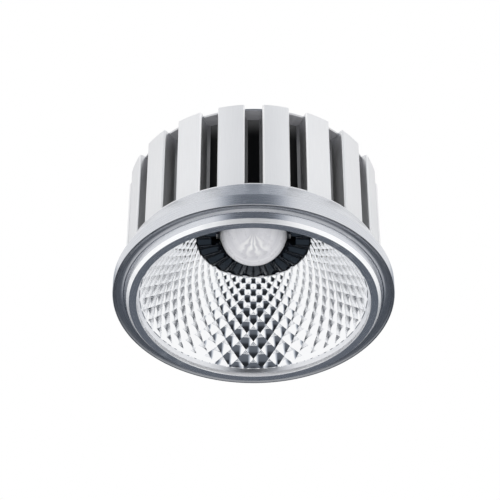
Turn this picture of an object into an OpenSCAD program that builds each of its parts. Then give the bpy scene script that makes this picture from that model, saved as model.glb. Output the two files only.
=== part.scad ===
// Round LED module: finned aluminium body, faceted reflector, domed lens.
// The light leaves downwards, and the module rests on the face of its bezel.

/* [Heat sink] */
// Diameter of the rim
rim_d = 50; // [44:0.5:60]
// Height of the straight wall of the rim
rim_wall = 2.3; // [1.5:0.1:4]
// How far the flare draws in from the rim to the fins
flare_w = 2; // [1:0.1:3]
// Height of the flare between rim and fins
flare_h = 4.15; // [3:0.05:6]
// Height of the plain land between the flare and the slots
land_h = 0.2; // [0.1:0.05:0.5]
// Number of fins
fin_count = 18; // [12:1:24]
// Slot width at its mouth
slot_w = 3.1; // [2.5:0.1:4.2]
// Slot width at its back wall
slot_back_w = 2.4; // [1.5:0.1:3]
// Radial depth of a slot
slot_depth = 3.5; // [2.5:0.1:4.5]
// Chamfer on the upright edges of a fin
fin_chamfer = 0.25; // [0.1:0.05:0.6]
// Chamfer on the top edge of the fins
top_chamfer = 0.15; // [0.1:0.05:0.4]
// Chamfer on the front edge of the rim
rim_chamfer = 0.15; // [0.05:0.05:0.3]
// Flat land on each side of the channel in the rim's face
channel_land = 0.15; // [0.05:0.05:0.4]
// Depth of the channel
channel_t = 0.24; // [0.05:0.01:0.4]
// Chamfer in the two back corners of a slot
slot_corner = 0.5; // [0.1:0.05:0.7]
// Wall between a slot and the reflector space
sink_wall = 1.7; // [1.2:0.1:2.4]
// Wall between a slot and the wiring chamber
chamber_wall = 3; // [2.4:0.1:4]
// Depth from the bezel face to the seat of the light source
seat_depth = 18.5; // [17:0.1:22]
// Thickness of the floor that carries the light source
floor_t = 2.5; // [1.5:0.1:4]
// Height of the wiring chamber behind the floor
chamber_h = 5.75; // [4.5:0.05:8]

/* [Bezel] */
// How far the bezel stands proud of the rim face
bezel_proud = 1.6; // [1:0.1:2.5]
// Width of the rim's face outside the bezel
rim_face_w = 1.95; // [1.2:0.05:3]
// Width of the upper, steep slope of the bezel
bezel_slope_w = 0.5; // [0.2:0.05:1]
// Width of the bright lower chamfer of the bezel
bezel_chamfer_w = 0.5; // [0.2:0.05:1]
// Height of the bright lower chamfer
bezel_chamfer_h = 0.6; // [0.3:0.05:0.9]
// Width of the flat face of the bezel
bezel_face_w = 1.35; // [0.8:0.05:2.5]
// Thickness of the ledge under the reflector
ledge_t = 0.8; // [0.5:0.05:1.2]
// Depth of the bezel's seat in the body
bezel_seat = 1.4; // [0.8:0.1:2]
// Wall of the bezel around the reflector's skirt
bezel_wall = 1; // [0.6:0.05:1.2]

/* [Reflector] */
// Facets around the bowl
facet_count = 40; // [24:2:48]
// Rows of facets from mouth to neck
facet_rows = 14; // [8:1:16]
// How far the middle of a facet stands into the bowl
facet_rise = 0.15; // [0.05:0.01:0.3]
// Width of the smooth band at the mouth
band_w = 0.5; // [0.2:0.05:0.8]
// Height of the smooth band at the mouth
band_h = 0.7; // [0.3:0.05:1]
// Wall of the bowl
bowl_t = 0.8; // [0.6:0.05:1]
// Thickness of the skirt at the mouth
skirt_t = 0.6; // [0.4:0.05:0.9]
// Length of the straight neck around the holder
neck_h = 1.1; // [0.6:0.1:1.6]
// Wall of the neck
neck_t = 0.9; // [0.6:0.05:1.1]

/* [Lens holder] */
// Diameter of the ribbed collar
collar_d = 20.5; // [20:0.1:22]
// Diameter of the base of the holder
holder_base_d = 24; // [23.6:0.1:25]
// Thickness of the base of the holder
holder_base_t = 1.9; // [1.7:0.1:2.4]
// Thickness of the lip that keeps the lens
lens_lip_t = 0.7; // [0.4:0.05:0.8]
// Radial ribs on the collar
rib_count = 22; // [12:1:28]
// Width of a rib
rib_w = 1; // [0.5:0.05:1.1]
// Height of a rib
rib_h = 0.5; // [0.2:0.05:0.7]
// Gap between the ears and the wall of the reflector space
ear_gap = 1.2; // [0.6:0.1:1.4]
// Radius of the ears around the fixing screws
ear_r = 2.6; // [2.4:0.1:3]
// Thickness of the ears
ear_t = 0.9; // [0.7:0.05:1]

/* [Lens and light source] */
// Diameter of the dome
dome_d = 12.2; // [10.8:0.1:12.4]
// Wall of the dome
dome_wall = 0.95; // [0.6:0.05:1.1]
// Width of the flange around the dome
lens_flange_w = 0.95; // [0.6:0.05:1.2]
// Thickness of the flange
lens_flange_t = 0.8; // [0.5:0.05:1]
// Width of the two lugs on the flange
lug_w = 2.4; // [1.5:0.1:3]
// How far a lug stands out from the flange
lug_out = 0.6; // [0.3:0.05:0.8]
// Side of the square board
board_w = 13.5; // [13:0.1:13.8]
// Thickness of the board
board_t = 1; // [0.8:0.05:1.4]
// Thickness of the thermal pad
pad_t = 0.3; // [0.2:0.05:0.5]
// Diameter of the light-emitting surface
emitter_d = 8.4; // [6:0.1:8.6]
// Height of the light-emitting layer
emitter_t = 0.3; // [0.2:0.05:0.4]
// Width of the dam around it
dam_w = 0.45; // [0.3:0.05:0.5]
// Height of the dam
dam_h = 0.4; // [0.3:0.05:0.5]

/* [Wiring] */
// Distance between the two leads
lead_pitch = 5; // [4:0.1:6]
// Diameter of a lead over its insulation
lead_d = 1.2; // [0.8:0.05:1.4]
// Inside bend radius of a lead
lead_bend = 1; // [0.8:0.05:1.2]
// Width of a contact strip
contact_w = 1.2; // [0.8:0.1:1.4]
// Gap between the lens's flange and the contact strips
contact_gap = 0.2; // [0.1:0.05:0.4]
// Thickness of a contact strip
contact_t = 0.3; // [0.2:0.05:0.4]
// Length of the terminal block along the leads
terminal_l = 8; // [6:0.1:10]
// Width of the terminal block
terminal_w = 10.4; // [9.4:0.1:12]
// Wall of the terminal block at its ends
terminal_wall = 0.7; // [0.5:0.05:1]
// Side of the square metal sleeves in the block
sleeve_w = 3; // [2.6:0.1:3.4]
// Distance of the clamp screws from the ends of the block
clamp_inset = 2.2; // [2:0.1:2.6]
// Diameter of the clamp screws in the block
clamp_screw_d = 1.6; // [1.2:0.1:1.8]
// Length of the clamp screws
clamp_screw_l = 1.7; // [1.2:0.1:1.8]
// Width and depth of the slot in a clamp screw
clamp_slot = 0.4; // [0.3:0.05:0.5]

/* [Rear cover] */
// Thickness of the cover
cover_t = 0.5; // [0.4:0.05:1]
// How far the cover lies inside the fins
cover_setback = 1.1; // [0.5:0.05:2]
// Diameter of the cover screws
cover_screw_d = 2; // [1.6:0.1:2.4]
// Diameter of the cover screws' heads
cover_head_d = 3.6; // [3:0.1:4]
// Height of the cover screws' heads
cover_head_h = 0.9; // [0.6:0.1:1.2]
// Length of a cover screw in the body
cover_screw_l = 4; // [3:0.1:6]
// Number of cover screws
cover_screws_n = 3; // [3:3:6]
// Bore of the cable inlet
inlet_d = 4; // [3:0.1:4.4]
// Wall of the grommet
grommet_wall = 1; // [0.7:0.05:1.2]
// Width of the grommet's two flanges
grommet_flange_w = 1; // [0.6:0.05:1.3]
// Thickness of the grommet's two flanges
grommet_flange_t = 0.9; // [0.6:0.05:1.2]

/* [Fits] */
// Radial gap between pieces that drop into each other
drop_gap = 0.05; // [0.02:0.01:0.1]
// Radial gap around screws and leads
hole_gap = 0.15; // [0.05:0.01:0.25]
// Air between the reflector and the body
air_gap = 0.45; // [0.3:0.05:0.8]
// Radial gap between the dome and the lip of its holder
lens_gap = 0.2; // [0.1:0.05:0.4]
// Gap between the terminal block and the rear cover
terminal_gap = 0.3; // [0.1:0.05:0.6]
// Diameter of the holder screws
holder_screw_d = 2.4; // [2:0.1:2.6]
// Diameter of the holder screws' heads
holder_head_d = 4; // [3.4:0.1:4.2]
// Height of the holder screws' heads
holder_head_h = 0.9; // [0.7:0.05:0.95]
// Length of a holder screw in the floor
holder_screw_l = 1.8; // [1:0.1:1.8]

/* [Hidden] */
$fn = 96;

// Cuts run this far past the faces that they open
past = 1;

// Heights, all from the bezel face
rim_z = bezel_proud;
shoulder_z = rim_z + bezel_seat;
flare_z = rim_z + rim_wall;
fin_z = flare_z + flare_h;
slot_z = fin_z + land_h;
floor_z = seat_depth + floor_t;
cover_z = floor_z + chamber_h;
top_z = cover_z + cover_t;
board_z = seat_depth - pad_t - board_t;
lens_z = board_z - lens_flange_t;
collar_z = lens_z - lens_lip_t;
base_z = seat_depth - holder_base_t;
ear_z = seat_depth - ear_t;

// Radii of the body and bezel
rim_r = rim_d / 2;
fin_r = rim_r - flare_w;
slot_back_r = fin_r - slot_depth;
cavity_r = slot_back_r - sink_wall;
chamber_r = slot_back_r - chamber_wall;
joint_r = rim_r - rim_face_w;
slope_r = joint_r - bezel_slope_w;
face_r = slope_r - bezel_chamfer_w;
mouth_r = face_r - bezel_face_w;
pocket_r = joint_r - bezel_wall;
skirt_r = pocket_r - drop_gap;
shoulder_r = skirt_r - skirt_t / 2;
cover_r = fin_r - cover_setback;
// Ears of the lens holder reach to the wall of the reflector space
holder_screw_r = cavity_r - ear_gap - ear_r;
// Screws of the cover enter the body between the chamber and the fins' faces
cover_screw_r = (chamber_r + cover_r) / 2;

// Bowl of the reflector: the square of its radius falls evenly with height
bowl_z0 = ledge_t + band_h;
bowl_z1 = base_z - neck_h;
bowl_r0 = mouth_r - band_w;
bowl_r1 = (collar_d / 2 + drop_gap) / cos(180 / facet_count);
bowl_fall = (pow(bowl_r0, 2) - pow(bowl_r1, 2)) / (bowl_z1 - bowl_z0);
function bowl_r(z) = sqrt(pow(bowl_r0, 2) - bowl_fall * (z - bowl_z0));
function bowl_z(r) = bowl_z0 + (pow(bowl_r0, 2) - pow(r, 2)) / bowl_fall;
// Radial thickness of the wall where it leans most
bowl_wall = bowl_t * sqrt(1 + pow(bowl_fall / (2 * bowl_r1), 2));
// Height at which the body may close in behind the bowl
close_z = bowl_z(cavity_r - air_gap - bowl_wall);

// Lens and holder
dome_r = dome_d / 2;
lens_flange_r = dome_r + lens_flange_w;
lug_r = lens_flange_r + lug_out;
lip_r = dome_r + lens_gap;
lead_x = holder_base_d / 2 - lead_d;
// Contacts start on the board's diagonals, outside the flange of the lens
contact_at = (lens_flange_r + contact_gap + contact_w / sqrt(2)) / sqrt(2);

// Rear: the inlet lies midway between the terminal block and the wall of its chamber
inlet_x = (chamber_r + terminal_l / 2) / 2;
inlet_r = inlet_d / 2;
grommet_r = inlet_r + grommet_wall;
terminal_h = chamber_h - terminal_gap;
wire_z = floor_z + terminal_h / 2;
bend_r = lead_bend + lead_d / 2;
fin_pitch = 360 / fin_count;

module at_slots() {
  for (i = [0 : fin_count - 1])
    rotate(i * fin_pitch - 90)
      children();
}

// Plan of one slot, pointing along +X, with chamfered mouth and back corners
module slot_plan() {
  mouth_x = fin_r * cos(asin(slot_w / 2 / fin_r));
  flare_x = mouth_x + past;
  flare_y = slot_w / 2 + fin_chamfer + past;
  polygon([
    [slot_back_r, -slot_back_w / 2 + slot_corner],
    [slot_back_r + slot_corner, -slot_back_w / 2],
    [mouth_x - fin_chamfer, -slot_w / 2],
    [flare_x, -flare_y],
    [flare_x, flare_y],
    [mouth_x - fin_chamfer, slot_w / 2],
    [slot_back_r + slot_corner, slot_back_w / 2],
    [slot_back_r, slot_back_w / 2 - slot_corner]
  ]);
}

// Round-bottomed channel in the face of the rim, drawn from its inner to its outer edge
channel_w = rim_face_w - rim_chamfer - 2 * channel_land;
channel_r = joint_r + channel_land + channel_w / 2;
channel_curve = (pow(channel_w / 2, 2) + pow(channel_t, 2)) / (2 * channel_t);
channel_steps = 10;
rim_channel = [
  for (i = [0 : channel_steps])
    let (x = channel_w * (i / channel_steps - 0.5))
    [channel_r + x, rim_z + channel_t - channel_curve + sqrt(pow(channel_curve, 2) - pow(x, 2))]
];

// Turned form of the body: flange, reflector space, floor and wiring chamber
module sink_profile() {
  polygon([
    [joint_r, rim_z],
    each rim_channel,
    [rim_r - rim_chamfer, rim_z],
    [rim_r, rim_z + rim_chamfer],
    [rim_r, flare_z],
    [fin_r, fin_z],
    [fin_r, top_z - top_chamfer],
    [fin_r - top_chamfer, top_z],
    [cover_r + drop_gap, top_z],
    [cover_r + drop_gap, cover_z],
    [chamber_r, cover_z],
    [chamber_r, floor_z],
    [0, floor_z],
    [0, seat_depth],
    [cavity_r, seat_depth],
    [cavity_r, close_z],
    [shoulder_r, shoulder_z + ledge_t],
    [shoulder_r, shoulder_z],
    [joint_r, shoulder_z]
  ]);
}

module at_holder_screws() {
  for (side = [-1, 1])
    translate([0, side * holder_screw_r, 0])
      children();
}

module at_cover_screws() {
  for (i = [0 : cover_screws_n - 1])
    rotate(-90 + fin_pitch / 2 + i * 360 / cover_screws_n)
      translate([cover_screw_r, 0, 0])
        children();
}

module at_leads() {
  for (side = [-1, 1])
    translate([lead_x, side * lead_pitch / 2, 0])
      children();
}

module heat_sink() {
  color("gainsboro")
    difference() {
      rotate_extrude()
        sink_profile();
      at_slots()
        translate([0, 0, slot_z])
          linear_extrude(top_z - slot_z + past)
            slot_plan();
      at_holder_screws()
        translate([0, 0, seat_depth - past])
          cylinder(d = holder_screw_d + 2 * drop_gap, h = holder_screw_l + drop_gap + past);
      at_cover_screws()
        translate([0, 0, cover_z - cover_screw_l - drop_gap])
          cylinder(d = cover_screw_d + 2 * drop_gap, h = cover_screw_l + drop_gap + past);
      at_leads()
        translate([0, 0, seat_depth - past])
          cylinder(d = lead_d + 2 * hole_gap, h = floor_t + 2 * past);
    }
}

module bezel_ring() {
  color("lightsteelblue")
    rotate_extrude()
      polygon([
        [mouth_r, 0],
        [face_r, 0],
        [slope_r, bezel_chamfer_h],
        [joint_r - drop_gap, rim_z],
        [joint_r - drop_gap, shoulder_z],
        [pocket_r, shoulder_z],
        [pocket_r, ledge_t],
        [mouth_r, ledge_t]
      ]);
}

// Rings of facet corners: the rows shrink with the radius
function row_r(k) = bowl_r0 * pow(bowl_r1 / bowl_r0, k / facet_rows);
function row_turn(k, i) = i + (k % 2) / 2;
function around(r, turn, z) =
  let (a = 360 * turn / facet_count)
  [r * sin(a), -r * cos(a), z];
function row_point(k, i) = around(row_r(k), row_turn(k, i), bowl_z(row_r(k)));
// Middle of the facet after corner i of row k, raised into the bowl
function facet_point(k, i) =
  let (lean = atan2(2 * row_r(k), bowl_fall))
  let (r = row_r(k) * cos(180 / facet_count) - facet_rise * sin(lean))
  around(r, row_turn(k, i) + 0.5, bowl_z(row_r(k)) - facet_rise * cos(lean));
// Column of the neighbour between corners i and i + 1, one row up or down
function between(k, i) = k % 2 == 0 ? i : i + 1;

// Section of the reflector behind its facets, from the mouth over the skirt to the neck
web_z = ledge_t + bowl_t;
wall_rings = 6;
reflector_back = [
  [mouth_r, ledge_t],
  [skirt_r, ledge_t],
  [skirt_r, shoulder_z],
  [skirt_r - skirt_t, shoulder_z],
  [skirt_r - skirt_t, web_z],
  for (i = [0 : wall_rings])
    let (z = web_z + (bowl_z1 - web_z) * i / wall_rings)
    [bowl_r(z) + (i == wall_rings ? neck_t : bowl_wall), z],
  [bowl_r1 + neck_t, base_z],
  [bowl_r1, base_z]
];

// One shell: a lattice of low four-sided pyramids inside, turned rings behind
module reflector() {
  n = facet_count;
  m = facet_rows;
  rows = [for (k = [0 : m]) for (i = [0 : n - 1]) row_point(k, i)];
  peaks = [for (k = [1 : m - 1]) for (i = [0 : n - 1]) facet_point(k, i)];
  back = [for (q = reflector_back) for (i = [0 : n - 1]) around(q[0], i, q[1])];
  peak_at = len(rows);
  back_at = peak_at + len(peaks);
  last = len(reflector_back) - 1;
  function row(k, i) = k * n + (i + n) % n;
  function peak(k, i) = peak_at + (k - 1) * n + i;
  function ring(q, i) = back_at + q * n + (i + n) % n;
  facets = [
    for (k = [1 : m - 1])
      for (i = [0 : n - 1])
        let (p = peak(k, i), l = row(k, i), r = row(k, i + 1))
        let (b = row(k - 1, between(k, i)), t = row(k + 1, between(k, i)))
        each [[p, l, b], [p, t, l], [p, r, t], [p, b, r]]
  ];
  mouth = [
    for (i = [0 : n - 1])
      each [
        [row(0, i), row(0, i + 1), row(1, i)],
        [ring(0, i), row(0, i + 1), row(0, i)],
        [ring(0, i), ring(0, i + 1), row(0, i + 1)]
      ]
  ];
  neck = [
    for (i = [0 : n - 1])
      each [
        [row(m, i), row(m - 1, between(m, i)), row(m, i + 1)],
        [row(m, i), row(m, i + 1), ring(last, i)],
        [ring(last, i), row(m, i + 1), ring(last, i + 1)]
      ]
  ];
  shell = [
    for (q = [0 : last - 1])
      for (i = [0 : n - 1])
        each [
          [ring(q + 1, i), ring(q, i + 1), ring(q, i)],
          [ring(q + 1, i), ring(q + 1, i + 1), ring(q, i + 1)]
        ]
  ];
  color("whitesmoke")
    polyhedron(concat(rows, peaks, back), concat(facets, mouth, neck, shell));
}

// Plan of one contact strip, from a corner of the board to its lead
module contact_plan(side, spare) {
  start = [contact_at, side * contact_at];
  end = [lead_x, side * lead_pitch / 2];
  run = end - start;
  translate(start)
    rotate(atan2(run[1], run[0]))
      translate([-contact_w / 2 - spare, -contact_w / 2 - spare])
        square([norm(run) + contact_w / 2 + lead_d / 2 + 2 * spare, contact_w + 2 * spare]);
}

module lug_plan(spare) {
  square([2 * (lug_r + spare), lug_w + 2 * spare], center = true);
}

module holder_ribs() {
  intersection() {
    translate([0, 0, collar_z - rib_h])
      cylinder(d = collar_d, h = rib_h + past);
    for (i = [0 : rib_count - 1])
      rotate(90 + i * 360 / rib_count)
        translate([0, -rib_w / 2, collar_z - rib_h])
          cube([collar_d, rib_w, rib_h + lens_lip_t / 2]);
  }
}

module lens_holder() {
  color("#15171a")
    difference() {
      union() {
        translate([0, 0, collar_z])
          cylinder(d = collar_d, h = seat_depth - collar_z);
        translate([0, 0, base_z])
          cylinder(d = holder_base_d, h = holder_base_t);
        holder_ribs();
        at_holder_screws()
          translate([0, 0, ear_z])
            cylinder(r = ear_r, h = ear_t);
        translate([-ear_r, -holder_screw_r, ear_z])
          cube([2 * ear_r, 2 * holder_screw_r, ear_t]);
      }
      translate([0, 0, collar_z - rib_h - past])
        cylinder(r = lip_r, h = seat_depth);
      translate([0, 0, lens_z])
        cylinder(r = lens_flange_r + drop_gap, h = seat_depth);
      translate([0, 0, collar_z - rib_h - past])
        linear_extrude(board_z - collar_z + rib_h + 2 * past)
          lug_plan(drop_gap);
      translate([0, 0, board_z])
        linear_extrude(seat_depth)
          square(board_w + 2 * drop_gap, center = true);
      for (side = [-1, 1])
        translate([0, 0, board_z - contact_t])
          linear_extrude(seat_depth)
            contact_plan(side, drop_gap);
      at_holder_screws() {
        cylinder(d = holder_screw_d + 2 * hole_gap, h = seat_depth + past);
        translate([0, 0, base_z - past])
          cylinder(d = holder_head_d + 2 * hole_gap, h = ear_z - base_z + past);
      }
    }
}

module dome_lens() {
  color("aliceblue", 0.5)
    difference() {
      union() {
        intersection() {
          translate([0, 0, board_z])
            sphere(r = dome_r);
          cylinder(r = lens_flange_r, h = board_z);
        }
        translate([0, 0, lens_z]) {
          cylinder(r = lens_flange_r, h = lens_flange_t);
          linear_extrude(lens_flange_t)
            lug_plan(0);
        }
      }
      translate([0, 0, board_z])
        sphere(r = dome_r - dome_wall);
    }
}

module led_board() {
  color("silver")
    translate([-board_w / 2, -board_w / 2, board_z])
      cube([board_w, board_w, board_t]);
}

module led_dam() {
  color("white")
    translate([0, 0, board_z - dam_h])
      difference() {
        cylinder(d = emitter_d + 2 * dam_w, h = dam_h);
        translate([0, 0, -past])
          cylinder(d = emitter_d, h = dam_h + 2 * past);
      }
}

module led_emitter() {
  color("cornsilk")
    translate([0, 0, board_z - emitter_t])
      cylinder(d = emitter_d, h = emitter_t);
}

module thermal_pad() {
  color("lightgray")
    translate([-board_w / 2, -board_w / 2, seat_depth - pad_t])
      cube([board_w, board_w, pad_t]);
}

module holder_contacts() {
  color("goldenrod")
    for (side = [-1, 1])
      translate([0, 0, board_z - contact_t])
        linear_extrude(contact_t)
          contact_plan(side, 0);
}

// Pan-head screw, its head below the origin and its shank above
module pan_screw(d, l, head_d, head_h) {
  slot_t = d / 4;
  cylinder(d = d, h = l);
  difference() {
    translate([0, 0, -head_h])
      cylinder(d = head_d, h = head_h);
    for (turn = [0, 90])
      rotate(turn)
        translate([-d / 2, -slot_t / 2, -head_h - past])
          cube([d, slot_t, head_h / 2 + past]);
  }
}

module holder_screws() {
  color("silver")
    at_holder_screws()
      translate([0, 0, ear_z])
        pan_screw(holder_screw_d, ear_t + holder_screw_l, holder_head_d, holder_head_h);
}

// Lead from its contact up through the floor, then level into the terminal block
module lead(side) {
  entry_x = terminal_l / 2 - clamp_inset - clamp_screw_d / 2;
  translate([lead_x, side * lead_pitch / 2, 0]) {
    translate([0, 0, board_z])
      cylinder(d = lead_d, h = wire_z - bend_r - board_z);
    translate([-bend_r, 0, wire_z - bend_r])
      rotate([90, 0, 0])
        rotate_extrude(angle = 90)
          translate([bend_r, 0])
            circle(d = lead_d);
  }
  translate([entry_x, side * lead_pitch / 2, wire_z])
    rotate([0, 90, 0])
      cylinder(d = lead_d, h = lead_x - bend_r - entry_x);
}

module positive_lead() {
  color("firebrick")
    lead(1);
}

module negative_lead() {
  color("#202020")
    lead(-1);
}

module at_poles() {
  for (side = [-1, 1])
    translate([0, side * lead_pitch / 2, wire_z])
      children();
}

module at_clamps() {
  for (end = [-1, 1])
    translate([end * (terminal_l / 2 - clamp_inset), 0, 0])
      children();
}

module wire_way() {
  rotate([0, 90, 0])
    cylinder(d = lead_d + 2 * hole_gap, h = terminal_l + 2 * past, center = true);
}

module sleeve_block(spare) {
  side = sleeve_w + 2 * spare;
  cube([terminal_l - 2 * terminal_wall + 2 * spare, side, side], center = true);
}

module terminal_block() {
  color("ivory")
    difference() {
      translate([-terminal_l / 2, -terminal_w / 2, floor_z])
        cube([terminal_l, terminal_w, terminal_h]);
      at_poles() {
        wire_way();
        sleeve_block(drop_gap);
        at_clamps()
          cylinder(d = clamp_screw_d + 2 * hole_gap, h = terminal_h);
      }
    }
}

module terminal_sleeves() {
  color("darkgoldenrod")
    at_poles()
      difference() {
        sleeve_block(0);
        wire_way();
        at_clamps()
          cylinder(d = clamp_screw_d + 2 * drop_gap, h = terminal_h);
      }
}

module clamp_screws() {
  color("silver")
    at_poles()
      at_clamps()
        translate([0, 0, lead_d / 2])
          difference() {
            cylinder(d = clamp_screw_d, h = clamp_screw_l);
            translate([-clamp_screw_d, -clamp_slot / 2, clamp_screw_l - clamp_slot])
              cube([2 * clamp_screw_d, clamp_slot, clamp_slot + past]);
          }
}

module rear_cover() {
  color("lightgray")
    difference() {
      translate([0, 0, cover_z])
        cylinder(r = cover_r, h = cover_t);
      at_cover_screws()
        translate([0, 0, cover_z - past])
          cylinder(d = cover_screw_d + 2 * hole_gap, h = cover_t + 2 * past);
      translate([-inlet_x, 0, cover_z - past])
        cylinder(r = grommet_r + drop_gap, h = cover_t + 2 * past);
    }
}

module cover_screws() {
  color("silver")
    at_cover_screws()
      translate([0, 0, top_z])
        mirror([0, 0, 1])
          pan_screw(cover_screw_d, cover_t + cover_screw_l, cover_head_d, cover_head_h);
}

module cable_grommet() {
  color("#1a1a1a")
    translate([-inlet_x, 0, 0])
      rotate_extrude()
        polygon([
          [inlet_r, cover_z - grommet_flange_t],
          [grommet_r + grommet_flange_w, cover_z - grommet_flange_t],
          [grommet_r + grommet_flange_w, cover_z],
          [grommet_r, cover_z],
          [grommet_r, top_z],
          [grommet_r + grommet_flange_w, top_z],
          [grommet_r + grommet_flange_w, top_z + grommet_flange_t],
          [inlet_r, top_z + grommet_flange_t]
        ]);
}

heat_sink();
bezel_ring();
reflector();
lens_holder();
dome_lens();
led_board();
led_dam();
led_emitter();
thermal_pad();
holder_contacts();
holder_screws();
positive_lead();
negative_lead();
terminal_block();
terminal_sleeves();
clamp_screws();
rear_cover();
cover_screws();
cable_grommet();
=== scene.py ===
import math

import bmesh
import bpy
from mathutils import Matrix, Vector


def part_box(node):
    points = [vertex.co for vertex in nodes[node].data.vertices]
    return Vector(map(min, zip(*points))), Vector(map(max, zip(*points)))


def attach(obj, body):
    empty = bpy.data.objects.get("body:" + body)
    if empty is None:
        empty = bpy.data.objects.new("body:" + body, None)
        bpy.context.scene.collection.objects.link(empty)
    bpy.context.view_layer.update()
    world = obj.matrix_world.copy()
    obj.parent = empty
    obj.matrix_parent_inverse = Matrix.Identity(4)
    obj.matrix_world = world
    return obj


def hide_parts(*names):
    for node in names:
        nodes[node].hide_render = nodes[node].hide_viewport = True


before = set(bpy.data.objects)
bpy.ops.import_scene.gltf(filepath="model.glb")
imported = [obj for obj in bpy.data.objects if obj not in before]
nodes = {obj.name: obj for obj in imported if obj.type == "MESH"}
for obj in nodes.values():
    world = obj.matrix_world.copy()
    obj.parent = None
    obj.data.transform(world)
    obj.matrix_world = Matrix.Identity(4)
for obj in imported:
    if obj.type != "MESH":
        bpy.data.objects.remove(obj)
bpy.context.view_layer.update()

mm = 0.001
turn = 2 * math.pi
over = 1.0  # how far a cutter reaches past the solid, in millimetres
bothSides = (-1, 1)
print("frame loaded:", len(nodes), "nodes")


# Corners of a node's box, in millimetres
def boxOf(node):
    low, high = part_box(node)
    return low / mm, high / mm


sinkLow, sinkHigh = boxOf("heat_sink")
bezelHigh = boxOf("bezel_ring")[1]
bowlLow, bowlHigh = boxOf("reflector")
holderLow, holderHigh = boxOf("lens_holder")
lensLow, lensHigh = boxOf("dome_lens")
boardLow, boardHigh = boxOf("led_board")
damLow, damHigh = boxOf("led_dam")
emitterLow, emitterHigh = boxOf("led_emitter")
coverLow, coverHigh = boxOf("rear_cover")
grommetLow, grommetHigh = boxOf("cable_grommet")

# Mesh helpers


def evenAngles(count):
    return [turn * i / count for i in range(count)]


# Angles start at the front, -Y, and go round towards +X
def place(r, angle, z):
    return (r * math.sin(angle) * mm, -r * math.cos(angle) * mm, z * mm)


# Each point is (r, z, setback): the setback turns its corner into a small round
def softCorners(points, steps=4, edgeShare=0.48):
    made = []
    for i, (r, z, setback) in enumerate(points):
        here = Vector((r, z))
        if not setback:
            made.append((r, z))
            continue
        before = Vector(points[i - 1][:2]) - here
        after = Vector(points[(i + 1) % len(points)][:2]) - here
        start = here + before.normalized() * min(setback, before.length * edgeShare)
        end = here + after.normalized() * min(setback, after.length * edgeShare)
        for step in range(steps + 1):
            t = step / steps
            p = start * (1 - t) ** 2 + here * 2 * t * (1 - t) + end * t * t
            made.append((p.x, p.y))
    return made


def arc(centre, radius, startDeg, endDeg, steps):
    made = []
    for step in range(steps + 1):
        a = math.radians(startDeg + (endDeg - startDeg) * step / steps)
        made.append((centre[0] + radius * math.cos(a), centre[1] + radius * math.sin(a)))
    return made


def addObject(name, data):
    made = bpy.data.objects.new(name, data)
    bpy.context.scene.collection.objects.link(made)
    return made


def meshObject(name, mesh):
    data = bpy.data.meshes.new(name)
    mesh.to_mesh(data)
    mesh.free()
    return addObject(name, data)


def newPiece(name, mesh):
    bmesh.ops.recalc_face_normals(mesh, faces=mesh.faces)
    return meshObject(name, mesh)


# A ring of one point is a tip, and gives triangles
def joinRings(mesh, low, high):
    count = max(len(low), len(high))
    if count == 1:
        return
    for i in range(count):
        k = (i + 1) % count
        corners = [low[i % len(low)], low[k % len(low)], high[k % len(high)], high[i % len(high)]]
        mesh.faces.new(list(dict.fromkeys(corners)))


# Turns a profile of (r, z) points about the axis; shape may move a point by its angle
def lathe(name, profile, angles, closed=True, shape=None):
    mesh = bmesh.new()
    rings = []
    for index, (r, z) in enumerate(profile):
        if r == 0:
            rings.append([mesh.verts.new((0, 0, z * mm))])
            continue
        ring = []
        for angle in angles:
            pointR, pointZ = shape(index, angle, r, z) if shape else (r, z)
            ring.append(mesh.verts.new(place(pointR, angle, pointZ)))
        rings.append(ring)
    following = rings[1:] + rings[:1] if closed else rings[1:]
    for low, high in zip(rings, following):
        joinRings(mesh, low, high)
    return newPiece(name, mesh)


def addPrism(mesh, outline, lowZ, highZ):
    bottom = [mesh.verts.new((x * mm, y * mm, lowZ * mm)) for x, y in outline]
    top = [mesh.verts.new((x * mm, y * mm, highZ * mm)) for x, y in outline]
    joinRings(mesh, bottom, top)
    mesh.faces.new(bottom[::-1])
    mesh.faces.new(top)


def disc(x, y, radius, count=40):
    return [(x + radius * math.cos(a), y + radius * math.sin(a)) for a in evenAngles(count)]


def rectangle(width, length):
    x, y = width / 2, length / 2
    return [(-x, -y), (x, -y), (x, y), (-x, y)]


# Cuts or adds a tool made of prisms, each given as (outline, lowZ, highZ)
def carve(piece, prisms, operation="DIFFERENCE"):
    mesh = bmesh.new()
    for outline, lowZ, highZ in prisms:
        addPrism(mesh, outline, lowZ, highZ)
    tool = newPiece("tool", mesh)
    cut = piece.modifiers.new("carve", "BOOLEAN")
    cut.operation = operation
    cut.solver = "EXACT"
    cut.object = tool
    graph = bpy.context.evaluated_depsgraph_get()
    carved = bpy.data.meshes.new_from_object(piece.evaluated_get(graph))
    piece.modifiers.clear()
    old = piece.data
    piece.data = carved
    bpy.data.meshes.remove(old)
    bpy.data.objects.remove(tool)
    carved.name = piece.name


# choose gives a face its material from the face's centre, in millimetres, and its normal
def dress(piece, node, materials, sharpDeg=32, choose=None):
    data = piece.data
    data.materials.clear()
    for material in materials:
        data.materials.append(material)
    data.shade_smooth()
    data.set_sharp_from_angle(angle=math.radians(sharpDeg))
    if choose:
        for face in data.polygons:
            face.material_index = materials.index(choose(face.center / mm, face.normal))
    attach(piece, "root")
    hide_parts(node)
    print("piece made:", piece.name, len(data.polygons), "faces")


# Material helpers


def addNode(tree, kind, **settings):
    made = tree.nodes.new("ShaderNode" + kind)
    for key, value in settings.items():
        setattr(made, key, value)
    return made


def link(tree, source, target):
    tree.links.new(source, target)


def feed(tree, target, value):
    if isinstance(value, (int, float, tuple)):
        target.default_value = value
    else:
        link(tree, value, target)


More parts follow.
